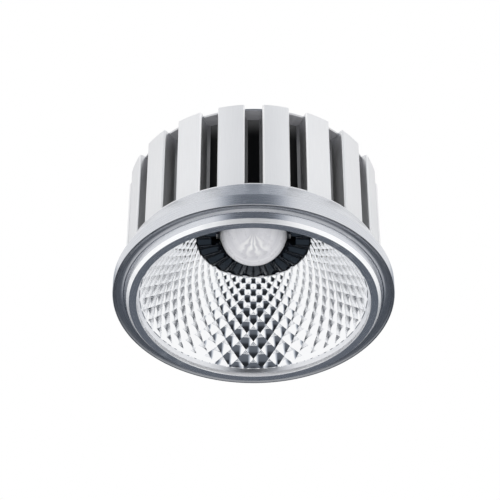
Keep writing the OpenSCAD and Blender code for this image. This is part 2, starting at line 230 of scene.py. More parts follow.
def math2(tree, operation, first, second=0.0):
    made = addNode(tree, "Math", operation=operation)
    feed(tree, made.inputs[0], first)
    feed(tree, made.inputs[1], second)
    return made.outputs[0]


def multiply(tree, first, second):
    return math2(tree, "MULTIPLY", first, second)


def remap(tree, value, fromLow, fromHigh, toLow=0.0, toHigh=1.0):
    made = addNode(tree, "MapRange")
    for socket, amount in zip(made.inputs, (value, fromLow, fromHigh, toLow, toHigh)):
        feed(tree, socket, amount)
    return made.outputs[0]


# Of the mix node's sockets, these numbers are its two colours and its result
def mixColours(tree, factor, first, second):
    made = addNode(tree, "Mix", data_type="RGBA")
    feed(tree, made.inputs["Factor"], factor)
    feed(tree, made.inputs[6], first)
    feed(tree, made.inputs[7], second)
    return made.outputs[2]


def newGroup(name, inputs, outputs):
    tree = bpy.data.node_groups.new(name, "ShaderNodeTree")
    for label, value in inputs.items():
        socket = tree.interface.new_socket(label, in_out="INPUT", socket_type="NodeSocketFloat")
        socket.default_value = value
    for label in outputs:
        tree.interface.new_socket(label, in_out="OUTPUT", socket_type="NodeSocketFloat")
    return tree, tree.nodes.new("NodeGroupInput"), tree.nodes.new("NodeGroupOutput")


# Object coordinates in millimetres
def millimetres(tree):
    where = addNode(tree, "TexCoord")
    scale = addNode(tree, "VectorMath", operation="SCALE")
    link(tree, where.outputs["Object"], scale.inputs[0])
    scale.inputs["Scale"].default_value = 1 / mm
    return scale.outputs[0]


# The same, as separate x, y and z
def axesOf(tree):
    split = addNode(tree, "SeparateXYZ")
    link(tree, millimetres(tree), split.inputs[0])
    return split.outputs[:]


def radiusOf(tree, x, y):
    squares = [math2(tree, "POWER", axis, 2.0) for axis in (x, y)]
    return math2(tree, "SQRT", math2(tree, "ADD", *squares))


def combine(tree, x=0.0, y=0.0, z=0.0):
    made = addNode(tree, "CombineXYZ")
    for socket, value in zip(made.inputs, (x, y, z)):
        feed(tree, socket, value)
    return made.outputs[0]


def noise(tree, vector, scale, detail=2.0, roughness=0.5, dimensions="3D"):
    made = addNode(tree, "TexNoise", noise_dimensions=dimensions)
    link(tree, vector, made.inputs["Vector"])
    feed(tree, made.inputs["Scale"], scale)
    made.inputs["Detail"].default_value = detail
    made.inputs["Roughness"].default_value = roughness
    return made.outputs["Fac"]


# Rings left by a lathe tool, and longer streaks that change slowly around them
def makeTurnedRings():
    aroundShare = 0.03
    streakShare = 0.7
    tree, given, out = newGroup("turnedRings", {"Lines per mm": 6.0}, ["Ring", "Streak"])
    lines = given.outputs["Lines per mm"]
    x, y, z = axesOf(tree)
    radius = radiusOf(tree, x, y)
    across = combine(tree, radius, z)
    link(tree, noise(tree, across, lines, detail=3.0, roughness=0.6, dimensions="2D"), out.inputs["Ring"])
    slow = [multiply(tree, axis, aroundShare) for axis in (x, y)]
    along = combine(tree, *slow, math2(tree, "ADD", radius, z))
    link(tree, noise(tree, along, multiply(tree, lines, streakShare)), out.inputs["Streak"])
    return tree


# Fine lines that run up the fins
def makeUprightLines():
    finR = 23.0
    upShare = 0.04
    tree, given, out = newGroup("uprightLines", {"Lines per mm": 5.0}, ["Line"])
    lines = given.outputs["Lines per mm"]
    x, y, z = axesOf(tree)
    around = multiply(tree, math2(tree, "ARCTAN2", x, y), finR)
    flat = combine(tree, around, multiply(tree, z, upShare))
    link(tree, noise(tree, flat, lines, detail=3.0, roughness=0.6, dimensions="2D"), out.inputs["Line"])
    return tree


# Uneven patches, for roughness and faint changes of colour
def makeMottle():
    tree, given, out = newGroup("mottle", {"Patches per mm": 0.3}, ["Patch"])
    patches = given.outputs["Patches per mm"]
    link(tree, noise(tree, millimetres(tree), patches, detail=4.0, roughness=0.55), out.inputs["Patch"])
    return tree


# Rubbed edges and a painted edge highlight, both from how far the surface bends outwards
def makeEdgeWear():
    tree, given, out = newGroup("edgeWear", {"Start": 0.52, "End": 0.62}, ["Wear"])
    bend = addNode(tree, "NewGeometry").outputs["Pointiness"]
    link(tree, remap(tree, bend, given.outputs["Start"], given.outputs["End"]), out.inputs["Wear"])
    return tree


turnedRings = makeTurnedRings()
uprightLines = makeUprightLines()
mottle = makeMottle()
edgeWear = makeEdgeWear()


def useGroup(tree, group, **values):
    made = addNode(tree, "Group", node_tree=group)
    for label, value in values.items():
        made.inputs[label.replace("_", " ")].default_value = value
    return made.outputs


def newMaterial(name, **sockets):
    material = bpy.data.materials.new(name)
    material.use_nodes = True
    shader = material.node_tree.nodes["Principled BSDF"]
    for label, value in sockets.items():
        shader.inputs[label.replace("_", " ")].default_value = value
    return material.node_tree, shader, material


def grey(value, blue=0.0):
    return (value, value * (1 + blue * 0.3), value * (1 + blue), 1)


def scaled(colour, share, lift=0.0):
    return tuple(min(1.0, c * share + lift) for c in colour) + (1,)


def paint(tree, shader, colour):
    link(tree, colour, shader.inputs["Base Color"])


# Most of a noise mask lies between 0.3 and 0.7
def varyRoughness(tree, shader, mask, low, high):
    link(tree, remap(tree, mask, 0.3, 0.7, low, high), shader.inputs["Roughness"])


def addBump(tree, shader, height, depth, strength):
    bump = addNode(tree, "Bump")
    bump.inputs["Strength"].default_value = strength
    bump.inputs["Distance"].default_value = depth * mm
    link(tree, height, bump.inputs["Height"])
    link(tree, bump.outputs[0], shader.inputs["Normal"])


def turnedMetal(name, tone, blue, roughness, lines, aniso=0.4, depth=0.004, swing=0.12, metallic=1.0):
    tree, shader, material = newMaterial(
        name, Metallic=metallic, Anisotropic=aniso, Anisotropic_Rotation=0.25,
    )
    rings = useGroup(tree, turnedRings, Lines_per_mm=lines)
    wearAndHighlight = useGroup(tree, edgeWear)["Wear"]
    # Wear and a painted highlight: a lighter tone on edges that bend outwards
    wornAndHighlight = grey(min(0.92, tone * 1.4), 0.03)
    shade = mixColours(tree, rings["Ring"], grey(tone * (1 - swing), blue), grey(tone * (1 + swing), blue))
    paint(tree, shader, mixColours(tree, wearAndHighlight, shade, wornAndHighlight))
    varyRoughness(tree, shader, rings["Streak"], roughness * 0.85, roughness * 1.2)
    tangent = addNode(tree, "Tangent", direction_type="RADIAL", axis="Z")
    link(tree, tangent.outputs[0], shader.inputs["Tangent"])
    addBump(tree, shader, rings["Ring"], depth, strength=0.5)
    return material


def satinMetal(name, tone, blue, metallic, roughness):
    tree, shader, material = newMaterial(name, Metallic=metallic)
    lines = useGroup(tree, uprightLines, Lines_per_mm=4.5)["Line"]
    patch = useGroup(tree, mottle, Patches_per_mm=0.25)["Patch"]
    wearAndHighlight = useGroup(tree, edgeWear)["Wear"]
    shade = mixColours(tree, lines, grey(tone * 0.96, blue), grey(tone * 1.03, blue))
    paint(tree, shader, mixColours(tree, wearAndHighlight, shade, grey(0.95, 0.01)))
    varyRoughness(tree, shader, patch, roughness * 0.9, roughness * 1.1)
    addBump(tree, shader, lines, depth=0.012, strength=0.5)
    return material


# Slot walls carry painted shade that darkens them towards their backs, and painted light that lightens them
# below the cover
slotShade = {
    "backR": 19.9,
    "mouthR": 22.6,
    "lowZ": 22.6,
    "highZ": 26.75,
    "uneven": 0.08,
}


def slotMetalPaintedShade(name, metallic, mouthTone, backPaintedShadeTone, coverPaintedLightTone, gloss):
    s = slotShade
    tree, shader, material = newMaterial(name, Metallic=metallic, Specular_IOR_Level=gloss)
    x, y, z = axesOf(tree)
    patch = useGroup(tree, mottle, Patches_per_mm=0.9)["Patch"]
    outwards = remap(tree, radiusOf(tree, x, y), s["backR"], s["mouthR"])
    uneven = remap(tree, patch, 0.0, 1.0, -s["uneven"], s["uneven"])
    depth = math2(tree, "ADD", outwards, uneven)
    # Painted shade: darker from the slot's mouth to its back
    shade = mixColours(tree, depth, grey(backPaintedShadeTone, 0.02), grey(mouthTone, 0.02))
    # Painted light: a lighter tone just below the cover
    coverPaintedLight = math2(tree, "POWER", remap(tree, z, s["lowZ"], s["highZ"]), 2.0)
    paint(tree, shader, mixColours(tree, coverPaintedLight, shade, grey(coverPaintedLightTone, 0.03)))
    varyRoughness(tree, shader, patch, 0.28, 0.4)
    addBump(tree, shader, patch, depth=0.01, strength=0.4)
    return material


def mirrorMetal(name, tone, roughness):
    tree, shader, material = newMaterial(name, Metallic=1.0)
    patch = useGroup(tree, mottle, Patches_per_mm=0.8)["Patch"]
    ripple = useGroup(tree, mottle, Patches_per_mm=1.6)["Patch"]
    paint(tree, shader, mixColours(tree, patch, grey(tone * 0.98, 0.02), grey(tone * 1.01, 0.02)))
    varyRoughness(tree, shader, patch, roughness * 0.7, roughness * 1.3)
    addBump(tree, shader, ripple, depth=0.004, strength=0.3)
    return material


white = (1, 1, 1, 1)


def moulded(name, colour, roughness, grain=6.0, depth=0.004, swing=0.15, gloss=0.5, tint=white):
    tree, shader, material = newMaterial(name, Specular_IOR_Level=gloss, Specular_Tint=tint)
    patch = useGroup(tree, mottle, Patches_per_mm=grain)["Patch"]
    wearAndHighlight = useGroup(tree, edgeWear, Start=0.53, End=0.68)["Wear"]
    shade = mixColours(tree, patch, scaled(colour, 1 - swing), scaled(colour, 1 + swing))
    paint(tree, shader, mixColours(tree, wearAndHighlight, shade, scaled(colour, 1.5, lift=0.002)))
    varyRoughness(tree, shader, patch, roughness * 0.85, roughness * 1.15)
    addBump(tree, shader, patch, depth, strength=0.4)
    return material


def plainMetal(name, colour, roughness):
    tree, shader, material = newMaterial(name, Metallic=1.0)
    patch = useGroup(tree, mottle, Patches_per_mm=3.0)["Patch"]
    wearAndHighlight = useGroup(tree, edgeWear)["Wear"]
    shade = mixColours(tree, patch, scaled(colour, 0.88), scaled(colour, 1.08))
    paint(tree, shader, mixColours(tree, wearAndHighlight, shade, scaled(colour, 1.2)))
    varyRoughness(tree, shader, patch, roughness * 0.8, roughness * 1.2)
    addBump(tree, shader, patch, depth=0.004, strength=0.3)
    return material


def clearMoulding(name, roughness, ior):
    tree, shader, material = newMaterial(
        name, Metallic=0.0, Transmission_Weight=1.0, IOR=ior, Coat_Weight=1.0,
    )
    patch = useGroup(tree, mottle, Patches_per_mm=0.5)["Patch"]
    paint(tree, shader, mixColours(tree, patch, (0.94, 0.94, 0.96, 1), (0.98, 0.98, 0.99, 1)))
    varyRoughness(tree, shader, patch, roughness * 0.7, roughness * 1.3)
    addBump(tree, shader, patch, depth=0.02, strength=0.2)
    return material


# Milky dome with painted highlights: pale leaves fan out from a point on its front with painted shade
# between them, and faint arcs lie around that point
paintedDomeFan = {
    "y": -4.9,
    "reach": 5.4,
    "riseShare": 0.3,
    "fallShare": 0.5,
    "leafDeg": 24,
    "leafEdge": 0.7,
    "sideFade": (1.4, 2.2),
    "bend": 0.2,
    "arcsPerMm": 0.9,
    "gap": (0.64, 0.64, 0.68, 1),
    "leafHighlight": white,
    "arcDark": (0.76, 0.76, 0.80, 1),
    "arcPale": (0.88, 0.88, 0.91, 1),
}


def milkyWithPaintedHighlights(name, roughness):
    d = paintedDomeFan
    tree, shader, material = newMaterial(
        name, Metallic=0.0, Transmission_Weight=0.05, Coat_Weight=0.5, Sheen_Weight=1.0, Sheen_Roughness=0.2,
    )
    x, y = axesOf(tree)[:2]
    forward = math2(tree, "SUBTRACT", y, d["y"])
    reach = radiusOf(tree, x, forward)
    spread = math2(tree, "ARCTAN2", x, forward)
    patch = useGroup(tree, mottle, Patches_per_mm=0.6)["Patch"]
    leafTurn = math.radians(d["leafDeg"])
    bent = math2(tree, "ADD", spread, remap(tree, patch, 0.2, 0.8, -d["bend"], d["bend"]))
    wave = math2(tree, "COSINE", multiply(tree, bent, turn / leafTurn))
    # Painted highlights: the pale leaves, with painted shade in the gaps between them
    leafHighlight = remap(tree, wave, d["leafEdge"], -1.0)
    fadeStart, fadeEnd = [leafTurn * share for share in d["sideFade"]]
    inFan = remap(tree, math2(tree, "ABSOLUTE", spread), fadeStart, fadeEnd, 1.0, 0.0)
    rise = remap(tree, reach, 0.0, d["reach"] * d["riseShare"])
    fall = remap(tree, reach, d["reach"] * d["fallShare"], d["reach"], 1.0, 0.0)
    fan = multiply(tree, inFan, multiply(tree, rise, fall))
    arcs = remap(tree, noise(tree, combine(tree, reach), d["arcsPerMm"], dimensions="2D"), 0.35, 0.65)
    milk = mixColours(tree, arcs, d["arcDark"], d["arcPale"])
    paintedLeaves = mixColours(tree, leafHighlight, d["gap"], d["leafHighlight"])
    paint(tree, shader, mixColours(tree, fan, milk, paintedLeaves))
    varyRoughness(tree, shader, patch, roughness * 0.8, roughness * 1.2)
    addBump(tree, shader, arcs, depth=0.05, strength=0.2)
    return material


finSatin = satinMetal("finSatin", tone=0.82, blue=0.03, metallic=0.3, roughness=0.45)
# A lighter finish for the chamfers at the slot mouths: a painted highlight
finEdgesPaintedHighlight = satinMetal("finEdgesPaintedHighlight", tone=0.95, blue=0.02, metallic=0.3, roughness=0.35)
flangeTurned = turnedMetal("flangeTurned", tone=0.66, blue=0.08, roughness=0.26, lines=7.0)
# The rim's channel is painted darker than the flange as shade, darkest on its outer half
channelOuterPaintedShade = turnedMetal("channelOuterPaintedShade", tone=0.32, blue=0.10, roughness=0.28, lines=7.0)
channelInnerPaintedShade = turnedMetal("channelInnerPaintedShade", tone=0.42, blue=0.10, roughness=0.28, lines=7.0)
# Slot finishes carry painted shade; the slot backs are painted near black as shade, with painted light near
# the cover
slotSidesPaintedShade = slotMetalPaintedShade("slotSidesPaintedShade", metallic=0.9, mouthTone=0.70, backPaintedShadeTone=0.60, coverPaintedLightTone=0.75, gloss=0.5)
slotBacksPaintedShade = slotMetalPaintedShade("slotBacksPaintedShade", metallic=0.0, mouthTone=0.002, backPaintedShadeTone=0.002, coverPaintedLightTone=0.16, gloss=0.08)
slotCornersPaintedShade = slotMetalPaintedShade("slotCornersPaintedShade", metallic=0.9, mouthTone=0.40, backPaintedShadeTone=0.36, coverPaintedLightTone=0.50, gloss=0.3)
bezelTurned = turnedMetal("bezelTurned", tone=0.70, blue=0.09, roughness=0.24, lines=8.0)
# A lighter, less metallic finish for the bezel's chamfer and mouth: a painted highlight
bezelPaintedHighlight = turnedMetal(
    "bezelPaintedHighlight", tone=0.98, blue=0.02, roughness=0.36, lines=8.0,
    aniso=0.0, depth=0.003, swing=0.02, metallic=0.68,
)
mirrorFacets = mirrorMetal("mirrorFacets", tone=0.94, roughness=0.05)
bowlRim = turnedMetal(
    "bowlRim", tone=0.80, blue=0.05, roughness=0.32, lines=8.0, aniso=0.3, depth=0.003, swing=0.05,
)
holderBlack = moulded(
    "holderBlack", (0.003, 0.004, 0.006), roughness=0.12, grain=5.0, depth=0.003, gloss=0.05,
)
holderPolished = moulded(
    "holderPolished", (0.003, 0.005, 0.009), roughness=0.1, grain=5.0, depth=0.003,
    gloss=0.32, tint=(0.65, 0.82, 1, 1),
)
lensClear = clearMoulding("lensClear", roughness=0.03, ior=1.49)
lensMilkyPaintedHighlights = milkyWithPaintedHighlights("lensMilkyPaintedHighlights", roughness=0.3)
boardMask = moulded("boardMask", (0.86, 0.86, 0.86), roughness=0.4, grain=2.0, depth=0.003, swing=0.04)
damWhite = moulded("damWhite", (0.90, 0.90, 0.88), roughness=0.45, grain=2.0, swing=0.04)
emitterCream = moulded("emitterCream", (0.90, 0.87, 0.78), roughness=0.4, grain=5.0, depth=0.006, swing=0.05)
padGrey = moulded("padGrey", (0.36, 0.38, 0.40), roughness=0.7, grain=4.0, depth=0.01)
brassStrip = plainMetal("brassStrip", (0.70, 0.50, 0.20), roughness=0.3)
screwSteel = plainMetal("screwSteel", (0.62, 0.63, 0.65), roughness=0.3)
leadRed = moulded("leadRed", (0.50, 0.03, 0.03), roughness=0.45)
leadBlack = moulded("leadBlack", (0.02, 0.02, 0.02), roughness=0.45)
terminalIvory = moulded(
    "terminalIvory", (0.80, 0.77, 0.66), roughness=0.5, grain=3.0, depth=0.006, swing=0.05,
)
coverUnder = moulded("coverUnder", (0.33, 0.33, 0.35), roughness=0.5, grain=2.0, depth=0.003, swing=0.04)
coverTurned = turnedMetal(
    "coverTurned", tone=0.66, blue=0.03, roughness=0.36, lines=5.0, aniso=0.6, depth=0.006,
)
grommetRubber = moulded("grommetRubber", (0.022, 0.022, 0.024), roughness=0.6, grain=5.0, depth=0.008)
print("materials made:", len(bpy.data.materials))

# Heat sink: a turned body with slots cut between the fins
sink = {
    "segments": 216,
    "fins": 18,
    "rimZ": sinkLow.z,
    "rimR": sinkHigh.x,
    "rimRound": 0.15,
    "rimWall": 2.3,
    "topZ": sinkHigh.z,
    "finR": 23.0,
    "finZ": 8.05,
    "slotZ": 8.25,
    "slotBackR": 19.5,
    "slotW": 3.1,
    "slotBackW": 3.0,
    "mouthChamfer": 0.25,
    "backChamfer": 0.5,
    "jointR": 23.05,
    "channelT": 0.24,
    "channelLand": 0.15,
    "channelHalf": 0.86,
    "channelSplitR": 24.35,
    "channelSteps": 16,
    "cavityR": 17.8,
    "chamberR": 16.5,
    "floorZ": 21.0,
    "seatZ": 18.5,
    "shoulderR": 21.7,
    "shoulderZ": 3.0,
    "shoulderH": 0.8,
    "closeZ": 8.3,
    "coverSeatR": coverHigh.x + 0.05,
    "coverSeatZ": coverLow.z,
    "coverScrewR": 1.05,
    "coverScrewDeep": 4.05,
    "holderScrewR": 1.25,
    "holderScrewZ": 20.35,
    "leadX": 10.8,
    "leadY": 2.5,
    "leadR": 0.75,
}


def sinkProfile():
    s = sink
    inner = s["jointR"] + s["channelLand"]
    outer = s["rimR"] - s["rimRound"] - s["channelLand"]
    half = (outer - inner) / 2
    curve = (half ** 2 + s["channelT"] ** 2) / (2 * s["channelT"])
    channel = []
    for step in range(s["channelSteps"] + 1):
        x = half * (2 * step / s["channelSteps"] - 1)
        z = s["rimZ"] + s["channelT"] - curve + math.sqrt(curve ** 2 - x ** 2)
        channel.append((inner + half + x, z, 0))
    return softCorners([
        (0, s["seatZ"], 0),
        (s["cavityR"], s["seatZ"], 0),
        (s["cavityR"], s["closeZ"], 0.3),
        (s["shoulderR"], s["shoulderZ"] + s["shoulderH"], 0),
        (s["shoulderR"], s["shoulderZ"], 0),
        (s["jointR"], s["shoulderZ"], 0),
        (s["jointR"], s["rimZ"], 0.06),
        *channel,
        (s["rimR"], s["rimZ"], s["rimRound"]),
        (s["rimR"], s["rimZ"] + s["rimWall"], 0.12),
        (s["finR"], s["finZ"], 0.15),
        (s["finR"], s["topZ"], 0.15),
        (s["coverSeatR"], s["topZ"], 0.05),
        (s["coverSeatR"], s["coverSeatZ"], 0),
        (s["chamberR"], s["coverSeatZ"], 0.1),
        (s["chamberR"], s["floorZ"], 0.2),
        (0, s["floorZ"], 0),
    ])


# Half of a slot's plan is drawn along +X, then mirrored and turned to its place
def slotOutline(angle):
    s = sink
    halfW, halfBack = s["slotW"] / 2, s["slotBackW"] / 2
    mouth = math.sqrt(s["finR"] ** 2 - halfW ** 2)
    side = softCorners([
        (mouth + over, halfW + s["mouthChamfer"] + over, 0),
        (mouth - s["mouthChamfer"], halfW, 0.12),
        (s["slotBackR"] + s["backChamfer"], halfBack, 0.1),
        (s["slotBackR"], halfBack - s["backChamfer"], 0.1),
        (s["slotBackR"], 0, 0),
    ])[:-1]
    plan = side + [(x, -y) for x, y in side[::-1]]
    toX, toY = math.sin(angle), -math.cos(angle)
    return [(x * toX - y * toY, x * toY + y * toX) for x, y in plan]


# How far a face looks outwards tells a fin's face, its edges and the parts of a slot apart
sinkLooks = {
    "finOut": 0.95,
    "backOut": 0.85,
    "cornerOut": 0.3,
    "insideOut": -0.5,
    "level": 0.5,
    "near": (0.02, 0.05, 0.1),
}
sinkFinishes = [
    finSatin, flangeTurned, slotSidesPaintedShade, slotBacksPaintedShade, finEdgesPaintedHighlight, slotCornersPaintedShade, channelOuterPaintedShade, channelInnerPaintedShade,
]


def sinkFinish(centre, normal):
    s, looks = sink, sinkLooks
    nearFlange, nearMouth, nearBack = looks["near"]
    r = math.hypot(centre.x, centre.y)
    offChannel = abs(r - (s["jointR"] + s["rimR"]) / 2)
    # Painted shade in the rim's channel
    if centre.z < s["rimZ"] + s["channelT"] and offChannel < s["channelHalf"]:
        return channelOuterPaintedShade if r > s["channelSplitR"] else channelInnerPaintedShade
    if centre.z < s["finZ"] + nearFlange:
        return flangeTurned
    outward = (normal.x * centre.x + normal.y * centre.y) / r
    inside = r < s["slotBackR"] - nearBack or outward < looks["insideOut"]
    if inside or abs(normal.z) > looks["level"]:
        return finSatin
    # The mouth chamfers get the painted highlight finish
    if r > s["finR"] - s["mouthChamfer"] - nearMouth:
        return finEdgesPaintedHighlight if outward < looks["finOut"] else finSatin
    # Slot backs, sides and corners get the painted shade finishes
    if outward > looks["backOut"]:
        return slotBacksPaintedShade
    return slotCornersPaintedShade if outward > looks["cornerOut"] else slotSidesPaintedShade


# Cover screws: their holes are in the body and the cover
coverScrews = {
    "count": 3,
    "r": (sink["chamberR"] + coverHigh.x) / 2,
    "firstDeg": 10,
    "segments": 48,
    "headR": 1.8,
    "headH": 0.9,
    "crownFall": 0.28,
    "edgeFall": 0.36,
    "crownShares": (0.25, 0.5, 0.7, 0.85, 0.95),
    "shankR": 1.0,
    "shankL": 4.0,
    "point": 0.3,
    "recessL": 2.0,
    "recessW": 0.5,
    "recessZ": 0.4,
}


def coverScrewPlaces():
    made = []
    for step in evenAngles(coverScrews["count"]):
        angle = math.radians(coverScrews["firstDeg"]) + step
        made.append((coverScrews["r"] * math.sin(angle), -coverScrews["r"] * math.cos(angle)))
    return made


# Lens holder: a ribbed collar on a base with two ears, whose screws go into the body
holder = {
    "segments": 352,
    "ribs": 22,
    "ribShare": 0.5,
    "flank": 0.3,
    "ribH": 0.5,
    "collarR": 10.25,
    "middleR": 8.2,
    "baseR": 12.0,
    "collarZ": holderLow.z + 0.5,
    "baseZ": bowlHigh.z,
    "seatZ": holderHigh.z,
    "lipR": lensHigh.z - lensLow.z + 0.2,
    "lensPocketR": lensHigh.y + 0.05,
    "lensPocketT": 1.3,
    "boardPocketW": 13.6,
    "notchW": 2.5,
    "earR": 2.6,
    "earT": 0.9,
    "earRoot": 9.5,
    "earSteps": 20,
    "screwR": holderHigh.y - 2.6,
    "screwHoleR": 1.35,
}


def makeHeatSink():
    s = sink
    piece = lathe("fin_body", sinkProfile(), evenAngles(s["segments"]), closed=False)
    cuts = [(slotOutline(a), s["slotZ"], s["topZ"] + over) for a in evenAngles(s["fins"])]
    for x, y in coverScrewPlaces():
        cuts.append((disc(x, y, s["coverScrewR"]), s["coverSeatZ"] - s["coverScrewDeep"], s["topZ"] + over))
    startZ = s["seatZ"] - over / 2
    for side in bothSides:
        cuts.append((disc(0, side * holder["screwR"], s["holderScrewR"]), startZ, s["holderScrewZ"]))
    for side in bothSides:
        cuts.append((disc(s["leadX"], side * s["leadY"], s["leadR"]), startZ, s["floorZ"] + over))
    carve(piece, cuts)
    dress(piece, "heat_sink", sinkFinishes, 28, sinkFinish)


makeHeatSink()

# Bezel: two steep steps and a flat front ring
bezel = {
    "segments": 256,
    "mouthR": 20.7,
    "faceR": 22.05,
    "slopeR": 22.55,
    "chamferH": 0.6,
    "outerR": bezelHigh.x,
    "rimZ": sinkLow.z,
    "seatZ": bezelHigh.z,
    "pocketR": 22.05,
    "ledgeT": 0.8,
}


def bezelFinish(centre, normal):
    near, mouthNear = 0.02, 0.03
    r = math.hypot(centre.x, centre.y)
    onChamfer = bezel["faceR"] - near < r < bezel["slopeR"] + near and centre.z < bezel["chamferH"] + near
    onMouth = r < bezel["mouthR"] + mouthNear
    # The chamfer and the mouth get the painted highlight finish
    return bezelPaintedHighlight if onChamfer or onMouth else bezelTurned


def makeBezel():
    b = bezel
    profile = softCorners([
        (b["mouthR"], 0, 0.12),
        (b["faceR"], 0, 0.06),
        (b["slopeR"], b["chamferH"], 0.06),
        (b["outerR"], b["rimZ"], 0.08),
        (b["outerR"], b["seatZ"], 0.1),
        (b["pocketR"], b["seatZ"], 0.1),
        (b["pocketR"], b["ledgeT"], 0),
        (b["mouthR"], b["ledgeT"], 0.1),
    ])
    piece = lathe("bezel", profile, evenAngles(b["segments"]))
    dress(piece, "bezel_ring", [bezelTurned, bezelPaintedHighlight], 28, bezelFinish)


makeBezel()

# Reflector: round caps between two families of spiral lines, on a thin bowl with a skirt
bowl = {
    "around": 42,
    "rows": 13,
    "split": 8,
    "neckRise": 0.175,
    "mouthRise": 0.25,
    "mouthFade": 0.5,
    "neckSteps": 2,
    "rowShift": 0.031,
    "mouthR": 20.2,
    "mouthZ": 1.5,
    "neckR": 10.332,
    "neckZ": 15.5,
    "lipR": 20.7,
    "skirtR": bowlHigh.x,
    "skirtZ": 3.0,
    "skirtT": 0.6,
    "webT": 0.8,
    "wall": 1.16,
    "neckWall": 0.9,
    "backSteps": 12,
}


def bowlFall():
    return (bowl["mouthR"] ** 2 - bowl["neckR"] ** 2) / (bowl["neckZ"] - bowl["mouthZ"])


def bowlHeight(r):
    return bowl["mouthZ"] + (bowl["mouthR"] ** 2 - r ** 2) / bowlFall()


def bowlRadius(z):
    return math.sqrt(bowl["mouthR"] ** 2 - bowlFall() * (z - bowl["mouthZ"]))


# Each facet is a low round cap; the caps fade out at the neck and end sharply at the mouth
def facetPoint(across, along):
    b = bowl
    split, last = b["split"], b["rows"] * b["split"]
    u = along / last
    r = b["mouthR"] + (b["neckR"] - b["mouthR"]) * (u + b["rowShift"] * math.sin(math.pi * u))
    overOne = ((across + along) // 2) % split / split * 2 - 1
    overOther = ((across - along) // 2) % split / split * 2 - 1
    outShare = (r - b["neckR"]) / (b["mouthR"] - b["neckR"])
    height = b["neckRise"] + (b["mouthRise"] - b["neckRise"]) * outShare
    fade = min(1.0, b["mouthFade"] + along / split, (last - along) / b["neckSteps"])
    rise = height * (1 - (overOne ** 2 + overOther ** 2) / 2) * fade
    lean = math.atan2(2 * r, bowlFall())
    angle = turn * (across / (2 * split) + 0.5) / b["around"]
    return place(r - rise * math.sin(lean), angle, bowlHeight(r) - rise * math.cos(lean))


def bowlFinish(centre, normal):
    onBand = math.hypot(centre.x, centre.y) > bowl["mouthR"] and centre.z < bowl["mouthZ"]
    return bowlRim if onBand else mirrorFacets


# From the mouth's edge round the skirt and up the back to the neck
def bowlBack():
    b = bowl
    webZ = bowlLow.z + b["webT"]
    heights = [webZ + (b["neckZ"] - webZ) * i / b["backSteps"] for i in range(b["backSteps"])]
    return softCorners([
        (b["mouthR"] + 0.05, b["mouthZ"] - 0.08, 0),
        (b["lipR"], bowlLow.z, 0.05),
        (b["skirtR"], bowlLow.z, 0.05),
        (b["skirtR"], b["skirtZ"], 0.1),
        (b["skirtR"] - b["skirtT"], b["skirtZ"], 0.1),
        (b["skirtR"] - b["skirtT"], webZ, 0.1),
        *[(bowlRadius(z) + b["wall"], z, 0) for z in heights],
        (b["neckR"] + b["neckWall"], b["neckZ"], 0.1),
        (b["neckR"] + b["neckWall"], bowlHigh.z, 0.08),
        (b["neckR"], bowlHigh.z, 0.08),
    ])


# The grid's points stand in a diamond pattern, so each second row is half a step aside
def makeReflector():
    b = bowl
    columns, rows = b["around"] * b["split"], b["rows"] * b["split"]
    mesh = bmesh.new()
    grid = [
        [mesh.verts.new(facetPoint(2 * i + along % 2, along)) for i in range(columns)]
        for along in range(rows + 1)
    ]

    def corner(across, along):
        return grid[along][((across - along % 2) // 2) % columns]

    for along in range(rows + 1):
        for i in range(columns):
            across = 2 * i + along % 2
            cell = [corner(across, along)]
            if along > 0:
                cell.append(corner(across + 1, along - 1))
            cell.append(corner(across + 2, along))
            if along < rows:
                cell.append(corner(across + 1, along + 1))
            mesh.faces.new(cell)
    angles = [a + turn / (2 * b["around"]) for a in evenAngles(columns)]
    rings = [grid[0]]
    rings += [[mesh.verts.new(place(r, a, z)) for a in angles] for r, z in bowlBack()]
    rings.append(grid[rows])
    for low, high in zip(rings, rings[1:]):
        joinRings(mesh, low, high)
    piece = newPiece("facet_bowl", mesh)
    dress(piece, "reflector", [mirrorFacets, bowlRim], 13, bowlFinish)


makeReflector()


# The holder's ribs: a flat top with sloping flanks
def ribHeight(angle):
    phase = (angle - math.pi) * holder["ribs"] / turn
    off = abs(phase - round(phase)) * 2
    rise = (holder["ribShare"] + holder["flank"] - off) / (2 * holder["flank"])
    return holder["ribH"] * max(0.0, min(1.0, rise))


# Only the flanks of the ribs are polished: they look down and along the ring
def holderFinish(centre, normal):
    flankAlong, flankDown = 0.2, 0.3
    along = abs(normal.x * centre.y - normal.y * centre.x) / math.hypot(centre.x, centre.y)
    return holderPolished if along > flankAlong and -normal.z > flankDown else holderBlack


